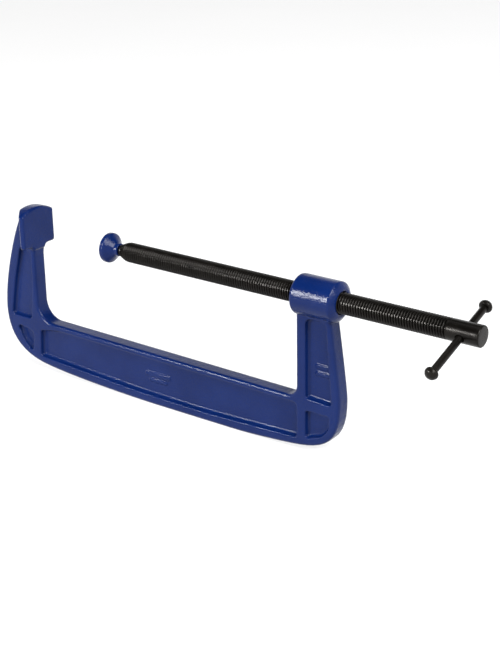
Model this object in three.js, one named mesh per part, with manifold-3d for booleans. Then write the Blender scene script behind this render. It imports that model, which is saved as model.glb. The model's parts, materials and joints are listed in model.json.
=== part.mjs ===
// A 300 mm G clamp (C clamp): cast frame, screw with a ball end, swivel pad, sliding tommy bar.
// Millimetres, +Z up. The origin is the point where the screw's axis meets the anvil's working
// face. +X runs along the screw from the anvil to the boss, and Y runs across the casting.

import * as THREE from "three";
import { mergeVertices } from "three/addons/utils/BufferGeometryUtils.js";
import Module from "manifold-3d";

const wasm = await Module();
wasm.setup();

// ---- Driving dimensions ----

const RUNNING_GAP = 0.3; // between pieces that touch or run in each other

// Frame casting
const CAST_WIDTH = 16.4; // across the rims, along Y
const POCKET_DEPTH = 5; // from each side, leaving a 6.4 mm web
const POCKET_FILLET = 2.6; // how far a pocket's curved wall leans in from mouth to floor
const EDGE_ROUND = 2.5; // on every outer edge of the casting
const EDGE_GAIN = 1; // how far the widest section stands outside the drawn outline
const ARM_INNER_X = -3.2;
const LEG_INNER_X = 316.2;
const THROAT_Z = [-94.8, -97.5]; // spine's inner edge at the arm and at the leg
const ARM_FILLET = 20.4;
const LEG_FILLET = 12.3;
const BOSS_X = [314.6, 359.4];
const BOSS_RADIUS = 18.4;
const BOSS_ROUNDING = 2; // at the jaw end
const BOSS_DOME = [4.8, 7.4]; // length and fall in radius of the domed handle end
const BORE_CHAMFER = 1.5;

// Anvil
const ANVIL_HALF_WIDTH = 22.2;
const ANVIL_SHOULDER_Z = 18;
const ANVIL_CROWN_Z = 24.4;
const ANVIL_FOOT_Z = -15.8;
const ANVIL_DEPTH = 14.5; // back from the working face
const ANVIL_EDGE = [3.4, 2.4]; // how far its rounded edges run back, and lean in
const ANVIL_CHEEK_X = -5; // where its sides begin to narrow towards the arm

// Screw
const SCREW_RADIUS = 9.5; // over the thread's crests
const SCREW_END_X = 493.7;
const END_CHAMFER = 0.9;
const NECK_RADIUS = 3.4;
const SHOULDER_RADIUS = 5.3;
const BALL_RADIUS = 4.6;

// Swivel pad, measured back from its working face
const PAD_FACE_X = 92.1; // the opening of the jaws as stored
const PAD_RADIUS = 14.4;
const PAD_RIM = 3.8;
const COLLAR_RADIUS = 6.2;
const COLLAR_START = 11.4;
const COLLAR_END = 15.1;
const BALL_CENTRE = 9.2;
const RING_OFFSET = 2.6; // retaining ring's plane behind the ball's centre
const RING_RADIUS = 4.7; // to the middle of its wire
const RING_WIRE_RADIUS = 0.45;
const RING_ARC = 5.6; // radians: the ring is split
const CHAMBER_RADIUS = 5.62; // leaves the ring room while the pad tilts
const CHAMBER_SPAN = [1.3, 3.85]; // behind the ball's centre
const LIP_RADIUS = 4.6;

// Tommy bar
const BAR_X = 476.7;
const BAR_TILT = THREE.MathUtils.degToRad(18.4); // above the +Y direction, as stored
const BAR_RADIUS = 3.3;
const NEAR_SHOULDER = -52.9; // where each knob begins, along the bar from the screw's axis
const FAR_SHOULDER = 34.1;
const KNOB_RADIUS = 5.9;
const KNOB_LENGTH = 6.8;
const TENON_RADIUS = 2;
const TENON_LENGTH = 4;

const ROUND_SEGMENTS = 48;
const SMALL_SEGMENTS = 24;
const FULL_CIRCLE = 2 * Math.PI;

// ---- Materials ----

const bluePaint = new THREE.MeshStandardMaterial({
  color: 0x24386f, roughness: 0.3, metalness: 0.1,
});
const blackSteel = new THREE.MeshStandardMaterial({
  color: 0x1b1b1d, roughness: 0.42, metalness: 0.6,
});
const springSteel = new THREE.MeshStandardMaterial({
  color: 0x6b6d70, roughness: 0.35, metalness: 0.9,
});

// ---- Helpers ----

function toSolid(geometry) {
  const bare = geometry.clone();
  bare.deleteAttribute("normal");
  bare.deleteAttribute("uv");
  const merged = mergeVertices(bare, 1e-4);
  return new wasm.Manifold(new wasm.Mesh({
    numProp: 3,
    vertProperties: new Float32Array(merged.attributes.position.array),
    triVerts: new Uint32Array(merged.index.array),
  }));
}

function toGeometry(solid) {
  const mesh = solid.getMesh();
  const geometry = new THREE.BufferGeometry();
  geometry.setAttribute("position", new THREE.BufferAttribute(mesh.vertProperties, 3));
  geometry.setIndex(new THREE.BufferAttribute(mesh.triVerts, 1));
  geometry.computeVertexNormals();
  return geometry;
}

// A body turned about the X axis from [x, radius] pairs with x rising.
function turned(profile, segments = ROUND_SEGMENTS) {
  const points = profile.map(([x, r]) => new THREE.Vector2(r, x));
  return new THREE.LatheGeometry(points, segments).rotateZ(-Math.PI / 2);
}

// [x, radius] pairs on a circular arc in the half-plane that is turned.
function arcProfile(centreX, centreR, radius, fromAngle, toAngle, steps) {
  const points = [];
  for (let i = 0; i <= steps; i += 1) {
    const angle = fromAngle + ((toAngle - fromAngle) * i) / steps;
    points.push([centreX + radius * Math.cos(angle), centreR + radius * Math.sin(angle)]);
  }
  return points;
}

// A closed outline through [x, y, cornerRadius] corners, taken clockwise.
function roundedOutline(corners) {
  const shape = new THREE.Shape();
  corners.forEach(([x, y, radius], i) => {
    const corner = new THREE.Vector2(x, y);
    const before = corners[(i + corners.length - 1) % corners.length];
    const after = corners[(i + 1) % corners.length];
    const toBefore = new THREE.Vector2(before[0], before[1]).sub(corner).normalize();
    const toAfter = new THREE.Vector2(after[0], after[1]).sub(corner).normalize();
    const halfAngle = Math.acos(toBefore.dot(toAfter)) / 2;
    const inward = toBefore.clone().add(toAfter).normalize();
    const centre = corner.clone().addScaledVector(inward, radius / Math.sin(halfAngle));
    const setBack = radius / Math.tan(halfAngle);
    const start = corner.clone().addScaledVector(toBefore, setBack).sub(centre);
    const end = corner.clone().addScaledVector(toAfter, setBack).sub(centre);
    shape.absarc(centre.x, centre.y, radius, start.angle(), end.angle(), true);
  });
  shape.closePath();
  return shape;
}

// ---- Frame ----

// The casting's side view: anvil arm, curved heel, long spine, toe and boss leg.
function castingOutline() {
  const throatEnd = LEG_INNER_X - LEG_FILLET;
  const shape = new THREE.Shape();
  shape.moveTo(ARM_INNER_X - 2.8, ANVIL_CROWN_Z - 2);
  shape.bezierCurveTo(-11, 21.6, -16.2, 20.4, -16.8, 16.8);
  shape.lineTo(-20.3, 8);
  shape.bezierCurveTo(-31.2, -14.5, -45.4, -58.4, -46, -86.8);
  shape.bezierCurveTo(-46, -112.5, -35, -136, 10.2, -140.4);
  shape.bezierCurveTo(45.7, -145, 122, -147.1, 150, -147.1);
  shape.lineTo(240, -147.1);
  shape.bezierCurveTo(262, -147.1, 288, -145.3, 310.5, -143.3);
  shape.bezierCurveTo(346.4, -139.8, 360, -130.6, 360, -92.9);
  shape.bezierCurveTo(360, -83.6, 351.7, -27.8, 349.9, -16.3);
  shape.lineTo(349.9, 0);
  shape.lineTo(LEG_INNER_X, 0);
  shape.lineTo(LEG_INNER_X, THROAT_Z[1] + LEG_FILLET);
  shape.absarc(throatEnd, THROAT_Z[1] + LEG_FILLET, LEG_FILLET, 0, -Math.PI / 2, true);
  shape.lineTo(ARM_INNER_X + ARM_FILLET, THROAT_Z[0]);
  shape.absarc(
    ARM_INNER_X + ARM_FILLET, THROAT_Z[0] + ARM_FILLET, ARM_FILLET,
    -Math.PI / 2, Math.PI, true,
  );
  shape.lineTo(ARM_INNER_X, ANVIL_FOOT_Z - 10);
  shape.lineTo(-EDGE_GAIN - 0.6, ANVIL_FOOT_Z + 2);
  shape.lineTo(-EDGE_GAIN - 0.6, ANVIL_SHOULDER_Z);
  shape.closePath();
  return shape;
}

function castingBlank() {
  const geometry = new THREE.ExtrudeGeometry(castingOutline(), {
    depth: CAST_WIDTH - 2 * EDGE_ROUND,
    bevelEnabled: true,
    bevelThickness: EDGE_ROUND,
    bevelSize: EDGE_ROUND,
    bevelOffset: EDGE_GAIN - EDGE_ROUND,
    bevelSegments: 2,
    curveSegments: 12,
  });
  geometry.rotateX(Math.PI / 2).translate(0, CAST_WIDTH / 2 - EDGE_ROUND, 0);
  return toSolid(geometry);
}

// Mouths of the pockets that leave the raised rims and ribs, as [x, z, cornerRadius].
const POCKETS = {
  arm: [
    [-20.9, -18, 3], [-6.6, -22, 3], [-6.9, -50, 200], [-11.6, -94, 3],
    [-38.8, -94, 3], [-31.9, -57, 300],
  ],
  heel: [
    [-33.5, -103, 3], [-9.6, -107.5, 5], [-12.8, -131.8, 3], [-25.4, -119.8, 20],
  ],
  spine: [
    [0.3, -103.5, 3], [24, -99.3, 40], [315.9, -101.8, 4], [315.9, -136.3, 4],
    [205, -139.9, 1000], [120, -138.6, 1000], [-1.9, -132.4, 3],
  ],
  leg: [
    [325.2, -18.5, 6], [346.8, -18.5, 6], [353.2, -96.6, 3], [325.2, -95, 3],
  ],
  toe: [
    [325, -106.8, 3], [351, -106.8, 3], [349.9, -120.5, 12], [342.5, -129, 14],
    [325, -135, 3],
  ],
};

function pocketCutter(corners, side) {
  const skin = 1; // stands clear outside the casting's face
  const geometry = new THREE.ExtrudeGeometry(roundedOutline(corners), {
    depth: skin,
    bevelEnabled: true,
    bevelThickness: POCKET_DEPTH,
    bevelSize: POCKET_FILLET,
    bevelOffset: -POCKET_FILLET,
    bevelSegments: 2,
    curveSegments: 5,
  });
  geometry.rotateX(Math.PI / 2).translate(0, skin / 2, 0);
  return toSolid(geometry).translate([0, side * (CAST_WIDTH / 2 + skin / 2), 0]);
}

// The anvil's front view in Y and Z, with a crowned top and a foot that narrows to the arm.
function anvilFront() {
  const rise = ANVIL_CROWN_Z - ANVIL_SHOULDER_Z;
  const crownRadius = (ANVIL_HALF_WIDTH ** 2 + rise ** 2) / (2 * rise);
  const halfAngle = Math.asin(ANVIL_HALF_WIDTH / crownRadius);
  const w = ANVIL_HALF_WIDTH;
  const foot = ANVIL_FOOT_Z;
  const armWidth = CAST_WIDTH / 2;
  const shape = new THREE.Shape();
  shape.moveTo(w, ANVIL_SHOULDER_Z);
  shape.absarc(
    0, ANVIL_CROWN_Z - crownRadius, crownRadius,
    Math.PI / 2 - halfAngle, Math.PI / 2 + halfAngle, false,
  );
  shape.lineTo(-w, foot + 3.5);
  shape.quadraticCurveTo(-w, foot, -w + 3.5, foot);
  shape.lineTo(-armWidth - 5, foot);
  shape.quadraticCurveTo(-armWidth, foot, -armWidth, foot - 4);
  shape.lineTo(armWidth, foot - 4);
  shape.quadraticCurveTo(armWidth, foot, armWidth + 5, foot);
  shape.lineTo(w - 3.5, foot);
  shape.quadraticCurveTo(w, foot, w, foot + 3.5);
  shape.closePath();
  return shape;
}

// The anvil's plan in X and Y, tall enough to contain it, narrowing back to the arm.
function anvilPlan() {
  const w = ANVIL_HALF_WIDTH;
  const back = -ANVIL_DEPTH - 1;
  const neck = CAST_WIDTH / 2 + 0.5;
  const height = 4 * ANVIL_CROWN_Z;
  const geometry = new THREE.ExtrudeGeometry(roundedOutline([
    [1, w + 1, 0.5], [1, -w - 1, 0.5], [ANVIL_CHEEK_X + 0.8, -w - 1, 8], [back, -neck, 4],
    [back, neck, 4], [ANVIL_CHEEK_X + 0.8, w + 1, 8],
  ]), { depth: height, bevelEnabled: false, curveSegments: 6 });
  return toSolid(geometry.translate(0, 0, -height / 2));
}

function anvil() {
  const [edgeDepth, edgeLean] = ANVIL_EDGE;
  const geometry = new THREE.ExtrudeGeometry(anvilFront(), {
    depth: ANVIL_DEPTH - 2 * edgeDepth,
    bevelEnabled: true,
    bevelThickness: edgeDepth,
    bevelSize: edgeLean,
    bevelOffset: -edgeLean,
    bevelSegments: 4,
    curveSegments: 10,
  });
  const yzToWorld = new THREE.Matrix4().makeBasis(
    new THREE.Vector3(0, 1, 0), new THREE.Vector3(0, 0, 1), new THREE.Vector3(1, 0, 0),
  );
  geometry.applyMatrix4(yzToWorld).translate(edgeDepth - ANVIL_DEPTH, 0, 0);
  return toSolid(geometry).intersect(anvilPlan());
}

function boss() {
  const [start, end] = BOSS_X;
  const [domeLength, domeFall] = BOSS_DOME;
  const r = BOSS_RADIUS;
  const round = BOSS_ROUNDING;
  const arris = 1.2;
  return toSolid(turned([
    [start, 0],
    ...arcProfile(start + round, r - round, round, Math.PI, Math.PI / 2, 4),
    ...arcProfile(end - domeLength, r - arris, arris, Math.PI / 2, Math.PI / 4, 2),
    [end - 0.42 * domeLength, r - 0.38 * domeFall],
    [end - 0.12 * domeLength, r - 0.68 * domeFall],
    [end, r - domeFall],
    [end, 0],
  ]));
}

// Stands for the tapped hole: it clears the thread's crests and is chamfered at both mouths.
function bossBore() {
  const [start, end] = BOSS_X;
  const radius = SCREW_RADIUS + RUNNING_GAP;
  const past = 2;
  return toSolid(turned([
    [start - past, 0],
    [start - past, radius + BORE_CHAMFER + past],
    [start + BORE_CHAMFER, radius],
    [end - BORE_CHAMFER, radius],
    [end + past, radius + BORE_CHAMFER + past],
    [end + past, 0],
  ]));
}

function frameGeometry() {
  let casting = castingBlank();
  for (const corners of Object.values(POCKETS)) {
    for (const side of [-1, 1]) {
      casting = casting.subtract(pocketCutter(corners, side));
    }
  }
  return toGeometry(casting.add(anvil()).add(boss()).subtract(bossBore()));
}

// ---- Screw ----

function screwGeometry() {
  const face = PAD_FACE_X;
  const neckAngle = Math.asin(NECK_RADIUS / BALL_RADIUS);
  const body = toSolid(turned([
    ...arcProfile(face + BALL_CENTRE, 0, BALL_RADIUS, Math.PI, neckAngle, 8),
    [face + 16.2, NECK_RADIUS],
    [face + 16.5, SHOULDER_RADIUS],
    [face + 18.9, 6.5],
    [face + 21.7, 7.7],
    [face + 24.4, 8.8],
    [face + 26.9, 9.4],
    [face + 28.4, SCREW_RADIUS],
    [SCREW_END_X - END_CHAMFER, SCREW_RADIUS],
    [SCREW_END_X, SCREW_RADIUS - END_CHAMFER],
    [SCREW_END_X, 0],
  ]));
  const drillRadius = BAR_RADIUS + RUNNING_GAP;
  const drill = new THREE.CylinderGeometry(
    drillRadius, drillRadius, 4 * SCREW_RADIUS, SMALL_SEGMENTS,
  );
  drill.rotateX(BAR_TILT).translate(BAR_X, 0, 0);
  return toGeometry(body.subtract(toSolid(drill)));
}

// ---- Swivel pad and its retaining ring, along X from the pad's working face ----

function padGeometry() {
  const socket = BALL_RADIUS + RUNNING_GAP;
  const [chamberStart, chamberEnd] = CHAMBER_SPAN.map((x) => BALL_CENTRE + x);
  const socketMouth = Math.acos(CHAMBER_SPAN[0] / socket);
  return turned([
    [0, 0],
    [0, PAD_RADIUS - 0.5],
    [0.5, PAD_RADIUS],
    [PAD_RIM, PAD_RADIUS],
    [PAD_RIM + 0.8, PAD_RADIUS - 0.9],
    [6.4, 11.9],
    [8.2, 9.8],
    [9.9, 7.8],
    [COLLAR_START, COLLAR_RADIUS + 0.3],
    [COLLAR_START + 0.6, COLLAR_RADIUS],
    [COLLAR_END - 0.5, COLLAR_RADIUS],
    [COLLAR_END, COLLAR_RADIUS - 0.5],
    [COLLAR_END, LIP_RADIUS],
    [chamberEnd, LIP_RADIUS],
    [chamberEnd, CHAMBER_RADIUS],
    [chamberStart, CHAMBER_RADIUS],
    ...arcProfile(BALL_CENTRE, 0, socket, socketMouth, Math.PI, 7),
  ]);
}

class SplitCircle extends THREE.Curve {
  getPoint(t, target = new THREE.Vector3()) {
    const angle = (FULL_CIRCLE - RING_ARC) / 2 + t * RING_ARC;
    return target.set(0, RING_RADIUS * Math.cos(angle), RING_RADIUS * Math.sin(angle));
  }
}

function ringGeometry() {
  const section = new THREE.Shape().absarc(0, 0, RING_WIRE_RADIUS, 0, FULL_CIRCLE, false);
  return new THREE.ExtrudeGeometry(section, {
    steps: 30, curveSegments: 4, bevelEnabled: false, extrudePath: new SplitCircle(),
  });
}

// ---- Tommy bar, drawn along X with the screw's axis at 0 ----

// The knob's flat shoulder is at x = 0 and its dome points along +X. Its socket takes a tenon.
function knobGeometry() {
  const socketRadius = TENON_RADIUS + RUNNING_GAP;
  const socketDepth = TENON_LENGTH + RUNNING_GAP;
  const straight = 2.2;
  return turned([
    [socketDepth, 0],
    [socketDepth, socketRadius],
    [0, socketRadius],
    [0, KNOB_RADIUS - 0.9],
    [0.9, KNOB_RADIUS],
    [straight, KNOB_RADIUS],
    [KNOB_LENGTH * 0.57, KNOB_RADIUS * 0.93],
    [KNOB_LENGTH * 0.78, KNOB_RADIUS * 0.76],
    [KNOB_LENGTH * 0.94, KNOB_RADIUS * 0.45],
    [KNOB_LENGTH, 0],
  ], SMALL_SEGMENTS);
}

function barGeometry() {
  const start = NEAR_SHOULDER + RUNNING_GAP;
  const end = FAR_SHOULDER - RUNNING_GAP;
  return turned([
    [start - TENON_LENGTH, 0],
    [start - TENON_LENGTH, TENON_RADIUS],
    [start, TENON_RADIUS],
    [start, BAR_RADIUS],
    [end, BAR_RADIUS],
    [end, TENON_RADIUS],
    [end + TENON_LENGTH, TENON_RADIUS],
    [end + TENON_LENGTH, 0],
  ], SMALL_SEGMENTS);
}

// ---- Assembly ----

function piece(name, geometry, material) {
  const mesh = new THREE.Mesh(geometry, material);
  mesh.name = name;
  return mesh;
}

const frame = piece("frame", frameGeometry(), bluePaint);
const screw = piece("screw", screwGeometry(), blackSteel);

const pad = piece("swivel_pad", padGeometry(), bluePaint);
pad.position.x = PAD_FACE_X;

const ring = piece("pad_retaining_ring", ringGeometry(), springSteel);
ring.position.x = PAD_FACE_X + BALL_CENTRE + RING_OFFSET;

const bar = piece("tommy_bar", barGeometry(), blackSteel);
const nearKnob = piece("tommy_bar_knob_near", knobGeometry(), blackSteel);
nearKnob.position.x = NEAR_SHOULDER;
nearKnob.rotation.z = Math.PI;
const farKnob = piece("tommy_bar_knob_far", knobGeometry(), blackSteel);
farKnob.position.x = FAR_SHOULDER;

// The bar lies across the screw: its own +X becomes +Y, tilted up by BAR_TILT.
const handle = new THREE.Group();
handle.add(bar, nearKnob, farKnob);
const alongBar = new THREE.Vector3(0, Math.cos(BAR_TILT), Math.sin(BAR_TILT));
handle.quaternion.setFromUnitVectors(new THREE.Vector3(1, 0, 0), alongBar);
handle.position.x = BAR_X;

const clamp = new THREE.Group();
clamp.add(frame, screw, pad, ring, handle);
export default clamp;
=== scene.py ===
"""The looks of a 300 mm G clamp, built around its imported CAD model.

Lengths are metres, except in the turned profiles, which are mm. The origin is where the
screw's axis meets the anvil's working face. +X runs along the screw from the anvil to the
handle, +Z from the spine to the screw, and Y across the casting.
"""

import json
import math

import bmesh
import bpy
import numpy as np
from mathutils import Matrix, Vector, noise

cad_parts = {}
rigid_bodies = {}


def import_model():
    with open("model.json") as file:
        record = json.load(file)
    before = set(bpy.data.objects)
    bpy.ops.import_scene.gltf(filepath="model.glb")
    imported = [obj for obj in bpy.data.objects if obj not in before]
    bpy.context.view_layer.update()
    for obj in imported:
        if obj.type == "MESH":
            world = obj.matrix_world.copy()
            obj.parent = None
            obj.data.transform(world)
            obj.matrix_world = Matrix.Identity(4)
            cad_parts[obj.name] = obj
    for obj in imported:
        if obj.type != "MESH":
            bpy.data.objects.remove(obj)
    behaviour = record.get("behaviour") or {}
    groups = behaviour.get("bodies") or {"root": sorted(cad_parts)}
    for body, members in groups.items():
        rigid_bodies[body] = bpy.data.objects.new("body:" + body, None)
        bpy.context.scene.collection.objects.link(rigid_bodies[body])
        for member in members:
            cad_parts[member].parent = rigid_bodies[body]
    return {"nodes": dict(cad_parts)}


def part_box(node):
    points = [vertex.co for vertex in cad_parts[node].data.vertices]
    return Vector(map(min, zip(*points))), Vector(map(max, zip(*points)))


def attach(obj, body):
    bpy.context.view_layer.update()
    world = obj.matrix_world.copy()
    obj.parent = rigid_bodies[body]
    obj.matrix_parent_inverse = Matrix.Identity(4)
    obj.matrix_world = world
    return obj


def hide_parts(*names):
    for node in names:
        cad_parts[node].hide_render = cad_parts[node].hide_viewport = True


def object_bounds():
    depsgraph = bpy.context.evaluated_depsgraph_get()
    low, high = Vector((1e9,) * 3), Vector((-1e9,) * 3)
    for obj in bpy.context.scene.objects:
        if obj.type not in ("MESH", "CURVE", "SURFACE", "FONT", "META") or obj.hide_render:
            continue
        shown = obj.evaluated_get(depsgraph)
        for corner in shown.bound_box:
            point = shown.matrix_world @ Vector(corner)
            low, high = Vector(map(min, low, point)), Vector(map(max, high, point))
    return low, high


for default_object in list(bpy.data.objects):
    bpy.data.objects.remove(default_object)
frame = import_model()
CAD_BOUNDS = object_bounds()

MM = 0.001
FULL_CIRCLE = 2 * math.pi

# Frame casting: raised marks on both faces of the web, as (x, z, length, height, depth) in mm
MARKS = (
    (150.5, -118.2, 31, 4.2, 8.6),
    (150.5, -124.4, 22, 3.0, 8.4),
    (341.5, -63.0, 15, 3.4, 8.6),
    (341.5, -70.0, 15, 3.4, 8.6),
)
FOUNDRY_VOXEL = 0.6 * MM
FOUNDRY_WAVES = ((150, 0.05 * MM),)  # (waves per metre, height)

# Screw, along X
SCREW_RADIUS = 9.5 * MM
THREAD_LEAD = 2.64 * MM
THREAD_DEPTH = 1.45 * MM
THREAD_X = (109.6 * MM, 464.6 * MM)
THREAD_RUNOUT = (3.0 * MM, 2.2 * MM)
THREAD_FORM = (  # (share of one pitch, share of the thread's depth), from root to crest and back
    (0.0, 1.0), (0.10, 1.0), (0.36, 0.12), (0.44, 0.0), (0.64, 0.0), (0.72, 0.12),
)
CONE_X = np.array([108.6, 111.0, 113.8, 116.5, 119.0, 120.5]) * MM
CONE_RADII = np.array([5.3, 6.5, 7.7, 8.8, 9.4, 9.5]) * MM
BALL_X = 101.3 * MM
BALL_RADIUS = 4.6 * MM
NECK_RADIUS = 3.4 * MM
HEAD_END_X = 493.7 * MM
HEAD_EDGE_RADIUS = 1.1 * MM
HEAD_DISH_RADIUS = 4.0 * MM
HEAD_DISH_DEPTH = 0.02 * MM

# Tommy bar
BAR_X = 476.7 * MM
BAR_TILT = math.radians(18.4)

# Its profile, in mm along the bar from the screw's axis
BAR_RADIUS = 3.3
BAR_HOLE_RADIUS = 3.65
NEAR_SHOULDER = -52.9
FAR_SHOULDER = 34.1
TENON_RADIUS = 2.0
TENON_LENGTH = 4.0
TENON_GAP = 0.3

# Swivel pad's profile, in mm back from its working face
PAD_RADIUS = 14.4
COLLAR_RADIUS = 6.2
COLLAR_START = 11.4
COLLAR_END = 15.1
LIP_RADIUS = 4.6
CHAMBER_RADIUS = 5.62
CHAMBER_START = 10.5
CHAMBER_END = 13.05
SOCKET_CENTRE = 9.2
SOCKET_RADIUS = 4.9

# Retaining ring
RING_RADIUS = 4.7 * MM  # to the middle of its wire
RING_WIRE_RADIUS = 0.45 * MM
RING_ARC = 5.6  # radians: the ring is split

# Stage
FLOOR_GAP = 0.2 * MM
MIDDLE = (0.25, 0.0, 0.0)  # what the lights point at
CAMERA_PLACE = (0.9992, -0.9844, 0.4474)
CAMERA_AZIMUTH = math.radians(36.924)
CAMERA_ELEVATION = math.radians(21.693)
CAMERA_ROLL = math.radians(-0.943)
CAMERA_LENS = 81.3


# ---- Mesh helpers ----

def new_object(name, verts, faces):
    mesh = bpy.data.meshes.new(name)
    mesh.from_pydata([tuple(v) for v in verts], [], faces)
    mesh.validate()
    obj = bpy.data.objects.new(name, mesh)
    bpy.context.collection.objects.link(obj)
    return obj


def shade(obj, angle_deg=35.0):
    """Smooth shading, with edges sharper than the angle left crisp."""
    obj.data.shade_smooth()
    obj.data.set_sharp_from_angle(angle=math.radians(angle_deg))


def filleted(points, steps=5):
    """(x, r) pairs through (x, r, corner radius) corners, with round corners as arcs."""
    result = []
    for i, point in enumerate(points):
        corner = Vector(point[:2])
        radius = point[2] if len(point) > 2 else 0.0
        if radius == 0.0 or i in (0, len(points) - 1):
            result.append(tuple(corner))
            continue
        back = (Vector(points[i - 1][:2]) - corner).normalized()
        ahead = (Vector(points[i + 1][:2]) - corner).normalized()
        half = back.angle(ahead) / 2
        centre = corner + (back + ahead).normalized() * (radius / math.sin(half))
        start = corner + back * (radius / math.tan(half)) - centre
        end = corner + ahead * (radius / math.tan(half)) - centre
        sweep = start.angle_signed(end)
        for k in range(steps + 1):
            turn = Matrix.Rotation(-sweep * k / steps, 2)
            result.append(tuple(centre + turn @ start))
    return result


def turned(name, profile, segments=96):
    """A closed solid turned about X from (x, r) pairs that start and end on the axis."""
    verts = []
    rings = []
    for x, r in profile:
        if r < 1e-7:
            rings.append([len(verts)] * segments)
            verts.append((x, 0.0, 0.0))
            continue
        ring = []
        for i in range(segments):
            a = FULL_CIRCLE * i / segments
            ring.append(len(verts))
            verts.append((x, r * math.cos(a), r * math.sin(a)))
        rings.append(ring)
    faces = []
    for ring, following in zip(rings, rings[1:]):
        for i in range(segments):
            j = (i + 1) % segments
            corners = [ring[i], following[i], following[j], ring[j]]
            face = list(dict.fromkeys(corners))
            if len(face) > 2:
                faces.append(face)
    obj = new_object(name, verts, faces)
    mend(obj)
    return obj


def mend(obj, distance=1e-7):
    """Merges points that coincide and turns every face outwards."""
    bm = bmesh.new()
    bm.from_mesh(obj.data)
    bmesh.ops.remove_doubles(bm, verts=bm.verts, dist=distance)
    bmesh.ops.dissolve_degenerate(bm, edges=bm.edges, dist=distance)
    bmesh.ops.recalc_face_normals(bm, faces=bm.faces)
    bm.to_mesh(obj.data)
    bm.free()


def bake_modifiers(obj):
    graph = bpy.context.evaluated_depsgraph_get()
    mesh = bpy.data.meshes.new_from_object(obj.evaluated_get(graph))
    obj.modifiers.clear()
    obj.data = mesh


def cut(obj, tool):
    """Takes the tool's solid out of the object."""
    modifier = obj.modifiers.new("cut", "BOOLEAN")
    modifier.operation = "DIFFERENCE"
    modifier.solver = "EXACT"
    modifier.object = tool
    bake_modifiers(obj)
    bpy.data.objects.remove(tool)


def roughen(obj, waves):
    """Moves the surface in and out by noise, as (waves per metre, height) pairs."""
    mesh = obj.data
    normals = np.empty(len(mesh.vertices) * 3)
    mesh.vertex_normals.foreach_get("vector", normals)
    points = np.empty(len(mesh.vertices) * 3)
    mesh.vertices.foreach_get("co", points)
    points = points.reshape(-1, 3)
    swell = np.array([
        sum(noise.noise(Vector(p) * scale) * height for scale, height in waves) for p in points
    ])
    points += normals.reshape(-1, 3) * swell[:, None]
    mesh.vertices.foreach_set("co", points.ravel())
    mesh.update()


def place(obj, matrix):
    obj.data.transform(matrix)
    obj.data.update()


def in_mm(points):
    return [tuple(value * MM for value in point) for point in points]


# ---- Materials ----

class Nodes:
    """A small builder for one material's node tree."""

    def __init__(self, name):
        self.material = bpy.data.materials.new(name)
        self.material.use_nodes = True
        self.tree = self.material.node_tree
        self.shader = self.tree.nodes["Principled BSDF"]
        self.coords = self.tree.nodes.new("ShaderNodeTexCoord").outputs["Object"]

    def link(self, source, target):
        self.tree.links.new(source, target)

    def noise(self, scale, detail=3.0, roughness=0.5, stretch=(1, 1, 1)):
        mapping = self.tree.nodes.new("ShaderNodeMapping")
        mapping.inputs["Scale"].default_value = stretch
        self.link(self.coords, mapping.inputs["Vector"])
        texture = self.tree.nodes.new("ShaderNodeTexNoise")
        texture.inputs["Scale"].default_value = scale
        texture.inputs["Detail"].default_value = detail
        texture.inputs["Roughness"].default_value = roughness
        self.link(mapping.outputs["Vector"], texture.inputs["Vector"])
        return texture.outputs["Fac"]

    def spread(self, source, low, high, out_low=0.0, out_high=1.0):
        node = self.tree.nodes.new("ShaderNodeMapRange")
        for key, value in zip(("From Min", "From Max", "To Min", "To Max"),
                              (low, high, out_low, out_high)):
            node.inputs[key].default_value = value
        self.link(source, node.inputs["Value"])
        return node.outputs["Result"]

    def mix(self, factor, first, second):
        node = self.tree.nodes.new("ShaderNodeMix")
        node.data_type = "RGBA"
        self.link(factor, node.inputs["Factor"])
        for socket, value in ((node.inputs[6], first), (node.inputs[7], second)):
            if hasattr(value, "links"):
                self.link(value, socket)
            else:
                socket.default_value = (*value, 1.0)
        return node.outputs[2]

    def bump(self, height, distance, strength=1.0, under=None):
        node = self.tree.nodes.new("ShaderNodeBump")
        node.inputs["Strength"].default_value = strength
        node.inputs["Distance"].default_value = distance
        self.link(height, node.inputs["Height"])
        if under is not None:
            self.link(under, node.inputs["Normal"])
        return node.outputs["Normal"]

    def pointiness(self, low, high):
        geometry = self.tree.nodes.new("ShaderNodeNewGeometry")
        return self.spread(geometry.outputs["Pointiness"], low, high)

    def finish(self, colour=None, roughness=None, normal=None, **constants):
        for source, key in ((colour, "Base Color"), (roughness, "Roughness"), (normal, "Normal")):
            if source is not None:
                self.link(source, self.shader.inputs[key])
        for key, value in constants.items():
            self.shader.inputs[key.replace("_", " ")].default_value = value
        return self.material


def blue_enamel():
    """Glossy enamel over sand casting: orange peel, thin and darker over the sharp edges."""
    n = Nodes("blue_enamel")
    patches = n.spread(n.noise(24, 4), 0.35, 0.65)
    base = n.mix(patches, (0.0013, 0.0078, 0.052), (0.0022, 0.0100, 0.062))
    edges = n.pointiness(0.52, 0.60)
    colour = n.mix(edges, base, (0.0010, 0.0064, 0.050))
    roughness = n.spread(n.noise(160, 3), 0.3, 0.7, 0.10, 0.17)
    casting = n.bump(n.noise(180, 3, 0.5), 0.0004, 0.5)
    peel = n.bump(n.noise(560, 3, 0.6), 0.0003, 0.9, casting)
    return n.finish(colour, roughness, peel, Specular_IOR_Level=0.15)


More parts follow.
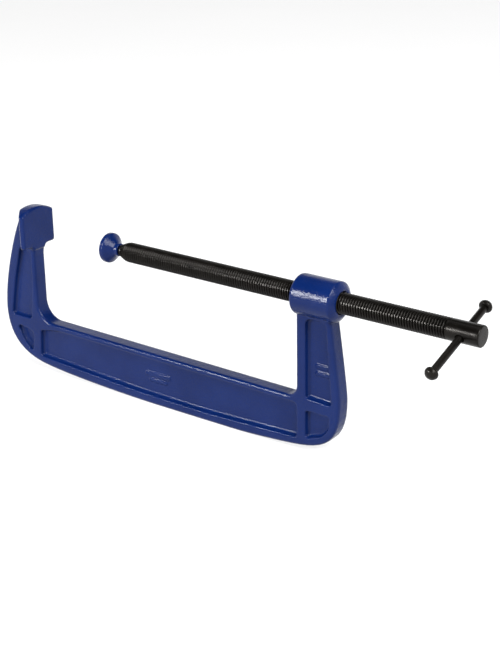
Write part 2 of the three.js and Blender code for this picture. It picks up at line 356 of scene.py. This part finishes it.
def black_oxide(name, grain):
    """Oiled black oxide over turned steel, with fine tool marks round the axis."""
    n = Nodes(name)
    cloud = n.spread(n.noise(60, 5, 0.6), 0.35, 0.7)
    colour = n.mix(cloud, (0.0015, 0.0013, 0.0011), (0.0040, 0.0034, 0.0028))
    roughness = n.spread(n.noise(120, 4), 0.3, 0.7, 0.19, 0.29)
    marks = n.noise(grain, 2, 0.5, (1.0, 0.04, 0.04))
    tooled = n.bump(marks, 0.00004, 0.5)
    pitted = n.bump(n.noise(700, 3), 0.00008, 0.4, tooled)
    return n.finish(colour, roughness, pitted, Specular_IOR_Level=0.14,
                    Specular_Tint=(1.0, 0.95, 0.90, 1.0))


def drawn_wire():
    n = Nodes("drawn_wire")
    cloud = n.spread(n.noise(300, 3), 0.3, 0.7)
    colour = n.mix(cloud, (0.36, 0.37, 0.38), (0.48, 0.48, 0.49))
    roughness = n.spread(n.noise(500, 3), 0.3, 0.7, 0.28, 0.42)
    return n.finish(colour, roughness, n.bump(n.noise(1500, 2), 0.00002), Metallic=1.0)


def pale_floor():
    """A light table: pale and faintly lit from below."""
    n = Nodes("pale_floor")
    colour = n.mix(n.noise(3, 2), (0.31, 0.31, 0.31), (0.33, 0.33, 0.33))
    return n.finish(colour, Roughness=0.9, Specular_IOR_Level=0.1,
                    Emission_Color=(1, 1, 1, 1), Emission_Strength=0.66)


BLUE = blue_enamel()
THREAD_BLACK = black_oxide("black_oxide_screw", 2500)
BAR_BLACK = black_oxide("black_oxide_bar", 1200)
WIRE = drawn_wire()


def dress(obj, material, body, node):
    obj.data.materials.clear()
    obj.data.materials.append(material)
    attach(obj, body)
    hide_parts(node)


# ---- Frame casting ----

def raised_bar(centre, length, height, depth):
    """A plain raised oval bar, its ends half round, across both faces of the web."""
    radius = height / 2
    outline = []
    for end, sign in ((length / 2 - radius, 1), (-length / 2 + radius, -1)):
        for k in range(13):
            a = math.radians(-90 + 15 * k)
            outline.append((end + sign * radius * math.cos(a), sign * radius * math.sin(a)))
    count = len(outline)
    verts = [(x, y, z) for y in (-depth / 2, depth / 2) for x, z in outline]
    faces = [list(range(count)), list(range(2 * count - 1, count - 1, -1))]
    for i in range(count):
        j = (i + 1) % count
        faces.append([i, i + count, j + count, j])
    obj = new_object("mark", verts, faces)
    place(obj, Matrix.Translation(centre))
    mend(obj)
    return obj


def join(target, others):
    bm = bmesh.new()
    bm.from_mesh(target.data)
    for other in others:
        bm.from_mesh(other.data)
        bpy.data.objects.remove(other)
    bm.to_mesh(target.data)
    bm.free()


def casting():
    """The CAD casting with a foundry's soft edges and fillets and plain raised marks."""
    mesh = frame["nodes"]["frame"].data.copy()
    obj = bpy.data.objects.new("frame_casting", mesh)
    bpy.context.collection.objects.link(obj)
    mend(obj)
    join(obj, [raised_bar((x, 0.0, z), length, height, depth)
               for x, z, length, height, depth in in_mm(MARKS)])
    remesh = obj.modifiers.new("remesh", "REMESH")
    remesh.mode = "VOXEL"
    remesh.voxel_size = FOUNDRY_VOXEL
    smooth = obj.modifiers.new("smooth", "SMOOTH")
    smooth.factor = 0.5
    smooth.iterations = 6
    bake_modifiers(obj)
    roughen(obj, FOUNDRY_WAVES)
    thin = obj.modifiers.new("thin", "DECIMATE")
    thin.ratio = 0.35
    bake_modifiers(obj)
    obj.data.shade_smooth()
    return obj


# ---- Screw ----

def cone_radius(x):
    """Radius over the thread's crests: a rounded cone behind the pad, then straight."""
    return float(np.interp(x, CONE_X, CONE_RADII))


def thread_cut(x):
    """How deep the thread is cut at x, easing out at both ends."""
    start, end = THREAD_X
    into = min(1.0, (x - start) / THREAD_RUNOUT[0])
    out = min(1.0, (end - x) / THREAD_RUNOUT[1])
    return THREAD_DEPTH * max(0.0, min(into, out))


class ScrewMesh:
    """Points and faces of the screw, which is closed about the X axis."""

    segments = 64

    def __init__(self):
        self.verts = []
        self.faces = []

    def thread(self):
        """The helical surface. Each segment's lines start a little further along X."""
        start, end = THREAD_X
        lines = len(THREAD_FORM)
        turns = math.ceil((end - start) / THREAD_LEAD) + 2
        columns = turns * lines
        for i in range(self.segments):
            angle = FULL_CIRCLE * i / self.segments
            for j in range(columns + 1):
                phase, share = THREAD_FORM[j % lines]
                x = start + THREAD_LEAD * (j // lines - 1 + phase + i / self.segments)
                x = min(max(x, start), end)
                r = cone_radius(x) - share * thread_cut(x)
                self.verts.append((x, r * math.cos(angle), r * math.sin(angle)))
        for i in range(self.segments):
            shift = lines if i == self.segments - 1 else 0
            base = i * (columns + 1)
            beside = ((i + 1) % self.segments) * (columns + 1) + shift
            for j in range(columns - shift):
                self.faces.append([base + j, base + j + 1, beside + j + 1, beside + j])

    def ring(self, x, r):
        first = len(self.verts)
        for i in range(self.segments):
            a = FULL_CIRCLE * i / self.segments
            self.verts.append((x, r * math.cos(a), r * math.sin(a)))
        return list(range(first, first + self.segments))

    def close(self, rings, pole_x):
        """Joins rings in a row and ends them in a point on the axis."""
        for one, other in zip(rings, rings[1:]):
            for i in range(self.segments):
                j = (i + 1) % self.segments
                self.faces.append([one[i], other[i], other[j], one[j]])
        pole = len(self.verts)
        self.verts.append((pole_x, 0.0, 0.0))
        last = rings[-1]
        for i in range(self.segments):
            self.faces.append([last[i], pole, last[(i + 1) % self.segments]])

    def nose(self):
        """From the thread's start over the shoulder and the neck to the ball."""
        start = THREAD_X[0]
        rings = [self.ring(start, cone_radius(start))]
        for x, r in ((108.7, 5.3), (108.4, 4.9)):
            rings.append(self.ring(x * MM, r * MM))
        for x in (108.2, 105.0):
            rings.append(self.ring(x * MM, NECK_RADIUS))
        steps = 14
        neck_angle = math.asin(NECK_RADIUS / BALL_RADIUS)
        for k in range(steps):
            a = neck_angle + (math.pi - neck_angle) * k / steps
            rings.append(self.ring(BALL_X + BALL_RADIUS * math.cos(a),
                                   BALL_RADIUS * math.sin(a)))
        self.close(rings, BALL_X - BALL_RADIUS)

    def head(self):
        """From the thread's end along the plain head, round its edge to its face."""
        end = THREAD_X[1]
        edge = HEAD_END_X - HEAD_EDGE_RADIUS
        rings = [self.ring(end, SCREW_RADIUS), self.ring(end + 0.4 * MM, SCREW_RADIUS)]
        steps = 11
        for k in range(1, steps + 1):
            rings.append(self.ring(end + (edge - end) * k / steps, SCREW_RADIUS))
        for k in range(1, 7):
            a = math.radians(15 * k)
            rings.append(self.ring(edge + HEAD_EDGE_RADIUS * math.sin(a),
                                   SCREW_RADIUS - HEAD_EDGE_RADIUS * (1 - math.cos(a))))
        face = HEAD_END_X - HEAD_DISH_DEPTH
        rings.append(self.ring(face, HEAD_DISH_RADIUS))
        self.close(rings, face)


def drill():
    """A cutter for the cross hole, with a countersink at each mouth."""
    r = BAR_HOLE_RADIUS
    profile = [(-14, 0), (-14, r + 3.2), (-9.2, r + 0.5), (-8.2, r),
               (8.2, r), (9.2, r + 0.5), (14, r + 3.2), (14, 0)]
    obj = turned("drill", in_mm(profile), 48)
    place(obj, across_screw())
    return obj


def screw():
    mesh = ScrewMesh()
    mesh.thread()
    mesh.nose()
    mesh.head()
    obj = new_object("screw_threaded", mesh.verts, mesh.faces)
    mend(obj, 2e-6)
    cut(obj, drill())
    shade(obj, 28)
    return obj


def across_screw():
    """Takes the X axis to the tommy bar's axis, through the cross hole."""
    along = Vector((0, math.cos(BAR_TILT), math.sin(BAR_TILT)))
    turn = Vector((1, 0, 0)).rotation_difference(along).to_matrix().to_4x4()
    return Matrix.Translation((BAR_X, 0, 0)) @ turn


# ---- Swivel pad and ring ----

def pad():
    outside = filleted([
        (0, 0), (0, PAD_RADIUS, 0.7), (3.8, PAD_RADIUS, 0.9), (5.1, 13.4, 1.5), (8.2, 9.6, 9.0),
        (COLLAR_START, COLLAR_RADIUS + 0.1, 1.5), (COLLAR_END, COLLAR_RADIUS, 0.6),
        (COLLAR_END, LIP_RADIUS, 0.2), (CHAMBER_END, LIP_RADIUS),
        (CHAMBER_END, CHAMBER_RADIUS), (CHAMBER_START, CHAMBER_RADIUS), (CHAMBER_START, 4.72),
    ], 6)
    socket = []
    steps = 14
    start = math.acos((CHAMBER_START - SOCKET_CENTRE) / SOCKET_RADIUS)
    for k in range(1, steps + 1):
        a = start + (math.pi - start) * k / steps
        socket.append((SOCKET_CENTRE + SOCKET_RADIUS * math.cos(a),
                       SOCKET_RADIUS * math.sin(a)))
    socket[-1] = (socket[-1][0], 0.0)
    obj = turned("swivel_pad_turned", in_mm(outside + socket), 96)
    place(obj, Matrix.Translation((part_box("swivel_pad")[0][0], 0, 0)))
    shade(obj, 40)
    return obj


def retaining_ring():
    lo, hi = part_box("pad_retaining_ring")
    x = (lo[0] + hi[0]) / 2
    steps, sides = 72, 16
    verts = []
    for i in range(steps + 1):
        a = (FULL_CIRCLE - RING_ARC) / 2 + RING_ARC * i / steps
        for k in range(sides):
            b = FULL_CIRCLE * k / sides
            r = RING_RADIUS + RING_WIRE_RADIUS * math.cos(b)
            verts.append((x + RING_WIRE_RADIUS * math.sin(b), r * math.cos(a), r * math.sin(a)))
    faces = []
    for i in range(steps):
        for k in range(sides):
            m = (k + 1) % sides
            faces.append([i * sides + k, i * sides + m, (i + 1) * sides + m, (i + 1) * sides + k])
    faces.append(list(range(sides)))
    faces.append(list(range(steps * sides, (steps + 1) * sides)))
    obj = new_object("retaining_ring_wire", verts, faces)
    mend(obj)
    shade(obj, 50)
    return obj


# ---- Tommy bar ----

def bar():
    start = NEAR_SHOULDER + TENON_GAP
    end = FAR_SHOULDER - TENON_GAP
    profile = filleted([
        (start - TENON_LENGTH, 0), (start - TENON_LENGTH, TENON_RADIUS), (start, TENON_RADIUS),
        (start, BAR_RADIUS, 0.3), (end, BAR_RADIUS, 0.3),
        (end, TENON_RADIUS), (end + TENON_LENGTH, TENON_RADIUS), (end + TENON_LENGTH, 0),
    ])
    obj = turned("tommy_bar_rod", in_mm(profile), 48)
    place(obj, across_screw())
    shade(obj, 40)
    return obj


def knob(name, shoulder, direction):
    """A mushroom head with a socket for the bar's tenon, pointing outwards along the bar."""
    socket_depth = TENON_LENGTH + TENON_GAP
    socket_radius = TENON_RADIUS + TENON_GAP
    profile = filleted([
        (socket_depth, 0), (socket_depth, socket_radius), (0, socket_radius), (0, 4.9, 0.4),
        (1.3, 5.9, 1.3), (3.1, 5.9, 1.6), (5.6, 4.5, 2.6), (6.8, 1.7, 2.4), (6.8, 0),
    ])
    obj = turned(name, in_mm(profile), 64)
    flip = Matrix.Scale(-1, 4, (1, 0, 0)) if direction < 0 else Matrix.Identity(4)
    place(obj, across_screw() @ Matrix.Translation((shoulder * MM, 0, 0)) @ flip)
    mend(obj)
    shade(obj, 40)
    return obj


dress(casting(), BLUE, "frame", "frame")
dress(screw(), THREAD_BLACK, "screw", "screw")
dress(pad(), BLUE, "pad", "swivel_pad")
dress(retaining_ring(), WIRE, "pad_carrier", "pad_retaining_ring")
dress(bar(), BAR_BLACK, "bar", "tommy_bar")
dress(knob("knob_near", NEAR_SHOULDER, -1), BAR_BLACK,
      "bar", "tommy_bar_knob_near")
dress(knob("knob_far", FAR_SHOULDER, 1), BAR_BLACK,
      "bar", "tommy_bar_knob_far")


# ---- Floor, light and camera ----

def floor():
    size = 12.0
    z = CAD_BOUNDS[0][2] - FLOOR_GAP
    obj = new_object("floor", [(-size, -size, z), (size, -size, z), (size, size, z),
                               (-size, size, z)], [[0, 1, 2, 3]])
    obj.data.materials.append(pale_floor())


def area_light(name, location, size, power):
    light = bpy.data.lights.new(name, "AREA")
    light.shape = "RECTANGLE"
    light.size, light.size_y = size
    light.energy = power
    obj = bpy.data.objects.new(name, light)
    obj.location = location
    aim = Vector(MIDDLE) - Vector(location)
    obj.rotation_euler = aim.to_track_quat("-Z", "Y").to_euler()
    bpy.context.collection.objects.link(obj)


def world(horizon, zenith, fade):
    """A studio that is pale all round and dimmer overhead, fading between two heights."""
    studio = bpy.data.worlds.new("studio")
    studio.use_nodes = True
    tree = studio.node_tree
    coords = tree.nodes.new("ShaderNodeTexCoord")
    split = tree.nodes.new("ShaderNodeSeparateXYZ")
    ramp = tree.nodes.new("ShaderNodeMapRange")
    ramp.interpolation_type = "SMOOTHSTEP"
    for key, value in (("From Min", fade[0]), ("From Max", fade[1]),
                       ("To Min", horizon), ("To Max", zenith)):
        ramp.inputs[key].default_value = value
    tree.links.new(coords.outputs["Generated"], split.inputs["Vector"])
    tree.links.new(split.outputs["Z"], ramp.inputs["Value"])
    background = tree.nodes["Background"]
    background.inputs["Color"].default_value = (1.0, 1.0, 1.0, 1.0)
    tree.links.new(ramp.outputs["Result"], background.inputs["Strength"])
    bpy.context.scene.world = studio


def camera():
    back = Vector((math.sin(CAMERA_AZIMUTH) * math.cos(CAMERA_ELEVATION),
                   -math.cos(CAMERA_AZIMUTH) * math.cos(CAMERA_ELEVATION),
                   math.sin(CAMERA_ELEVATION)))
    level = Vector((math.cos(CAMERA_AZIMUTH), math.sin(CAMERA_AZIMUTH), 0))
    upright = back.cross(level)
    right = level * math.cos(CAMERA_ROLL) + upright * math.sin(CAMERA_ROLL)
    up = upright * math.cos(CAMERA_ROLL) - level * math.sin(CAMERA_ROLL)
    data = bpy.data.cameras.new("camera")
    data.lens = CAMERA_LENS
    data.sensor_width = 36
    data.clip_end = 50
    obj = bpy.data.objects.new("camera", data)
    turn = Matrix((right, up, back)).transposed().to_4x4()
    obj.matrix_world = Matrix.Translation(CAMERA_PLACE) @ turn
    bpy.context.collection.objects.link(obj)
    bpy.context.scene.camera = obj


bpy.context.scene.view_settings.view_transform = "Standard"
floor()
world(horizon=1.25, zenith=0.03, fade=(0.36, 0.68))
area_light("key", location=(-0.65, -1.55, 0.55), size=(0.30, 0.46), power=50)
area_light("top", location=(0.2, 0.2, 2.6), size=(2.0, 2.0), power=12)
area_light("fill", location=(2.4, -0.8, 2.2), size=(2.0, 2.0), power=200)
camera()
